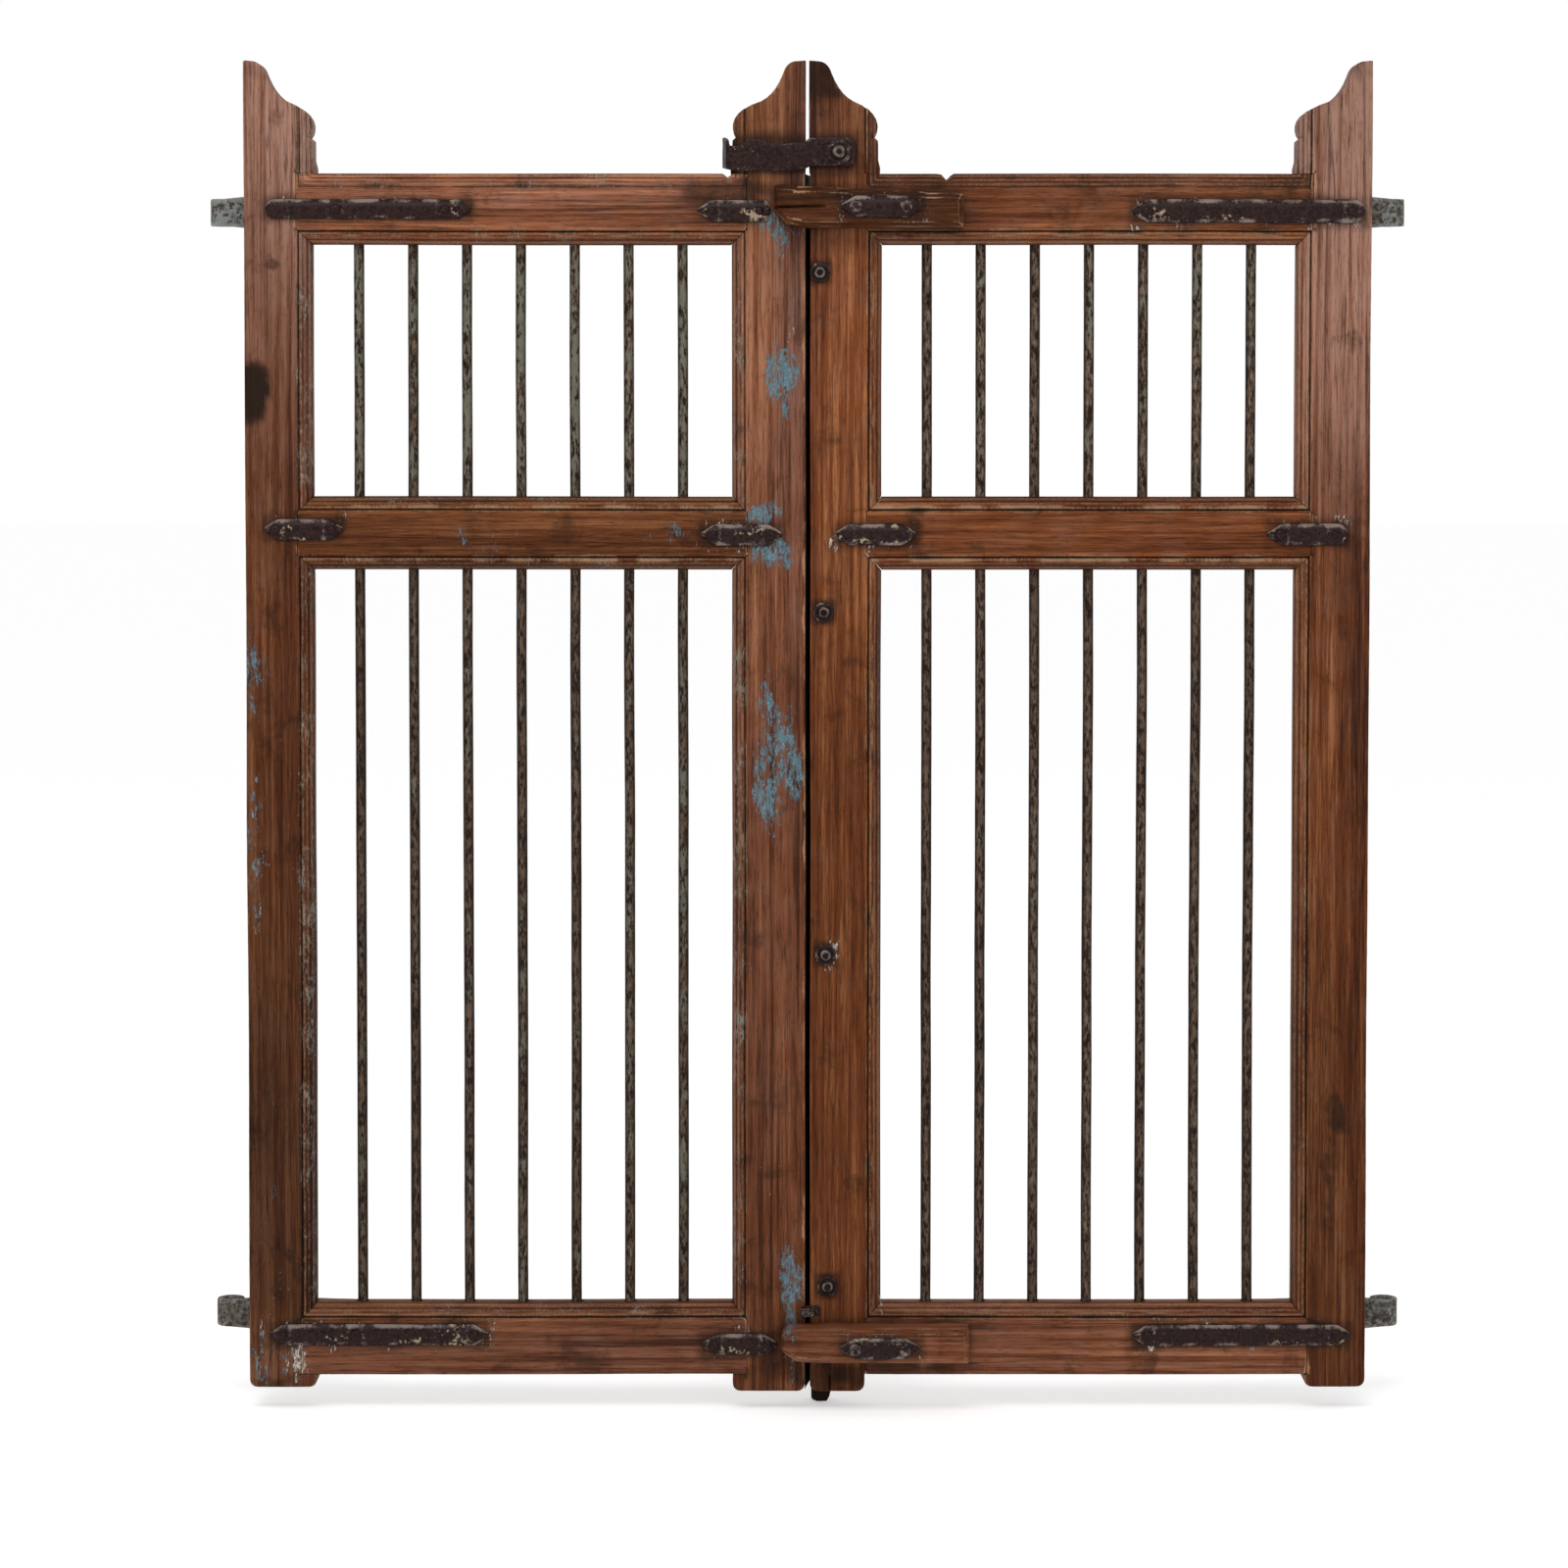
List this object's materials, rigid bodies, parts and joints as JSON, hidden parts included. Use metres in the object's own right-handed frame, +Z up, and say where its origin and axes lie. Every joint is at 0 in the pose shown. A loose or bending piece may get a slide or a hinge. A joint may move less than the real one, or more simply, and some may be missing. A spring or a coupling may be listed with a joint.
{
  "type": "double garden gate",
  "caption": "Double garden gate of framed wooden leaves with round iron bars, forged straps, hinge bands with rolled eyes, stop cleats and a lifting hasp across the shaped meeting heads.",
  "frame": {"origin": "middle of the gate's width and depth, at its lowest point, the tip of the cover batten", "axes": "+Z up, +X across the gate to the right as seen from its front, front towards -Y"},
  "size_m": [1.224, 0.1108, 1.379],
  "materials": {
    "teak": "old oiled teak with long grain, worn edges and remains of blue paint",
    "strap_iron": "hand-forged iron, dark brown-black with rubbed edges",
    "bar_iron": "dark iron bar mottled with old paint",
    "hinge_iron": "forged iron with grey-green paint remains"
  },
  "bodies": {
    "pins": {"left_top_pin": "strap_iron", "left_bottom_pin": "strap_iron", "right_top_pin": "strap_iron", "right_bottom_pin": "strap_iron"},
    "left_leaf": {"left_hanging_stile": "teak", "left_meeting_stile": "teak", "left_top_rail": "teak", "left_middle_rail": "teak", "left_bottom_rail": "teak", "left_bar_1": "bar_iron", "left_bar_2": "bar_iron", "left_bar_3": "bar_iron", "left_bar_4": "bar_iron", "left_bar_5": "bar_iron", "left_bar_6": "bar_iron", "left_bar_7": "bar_iron", "left_top_hinge_band": "hinge_iron", "left_bottom_hinge_band": "hinge_iron", "left_top_long_strap": "strap_iron", "left_top_meeting_strap": "strap_iron", "left_middle_hanging_strap": "strap_iron", "left_middle_meeting_strap": "strap_iron", "left_bottom_long_strap": "strap_iron", "left_bottom_meeting_strap": "strap_iron"},
    "right_leaf": {"right_hanging_stile": "teak", "right_meeting_stile": "teak", "right_top_rail": "teak", "right_middle_rail": "teak", "right_bottom_rail": "teak", "right_bar_1": "bar_iron", "right_bar_2": "bar_iron", "right_bar_3": "bar_iron", "right_bar_4": "bar_iron", "right_bar_5": "bar_iron", "right_bar_6": "bar_iron", "right_bar_7": "bar_iron", "right_top_hinge_band": "hinge_iron", "right_bottom_hinge_band": "hinge_iron", "right_top_long_strap": "strap_iron", "right_middle_meeting_strap": "strap_iron", "right_middle_hanging_strap": "strap_iron", "right_bottom_long_strap": "strap_iron", "top_cleat": "teak", "top_cleat_strap": "strap_iron", "top_cleat_bolt_1": "strap_iron", "top_cleat_bolt_2": "strap_iron", "bottom_cleat": "teak", "bottom_cleat_strap": "strap_iron", "bottom_cleat_bolt_1": "strap_iron", "bottom_cleat_bolt_2": "strap_iron", "cover_batten": "teak", "cover_stud_1": "strap_iron", "cover_stud_2": "strap_iron", "cover_stud_3": "strap_iron", "cover_stud_4": "strap_iron", "hasp_bolt": "strap_iron", "keeper_eye": "strap_iron"},
    "hasp": {"hasp": "strap_iron"}
  },
  "joints": [
    {"name": "left_leaf_swing", "type": "hinge", "parent": "pins", "child": "left_leaf", "pos_m": [-0.5975, 0.04095, 0.092], "axis": [0, 0, 1], "range_deg": [0, 100]},
    {"name": "right_leaf_swing", "type": "hinge", "parent": "pins", "child": "right_leaf", "pos_m": [0.5975, 0.04095, 0.092], "axis": [0, 0, 1], "range_deg": [0, 90]},
    {"name": "hasp_lift", "type": "hinge", "parent": "right_leaf", "child": "hasp", "pos_m": [0.0315, -0.0167, 1.2865], "axis": [0, 1, 0], "range_deg": [0, 110]}
  ]
}
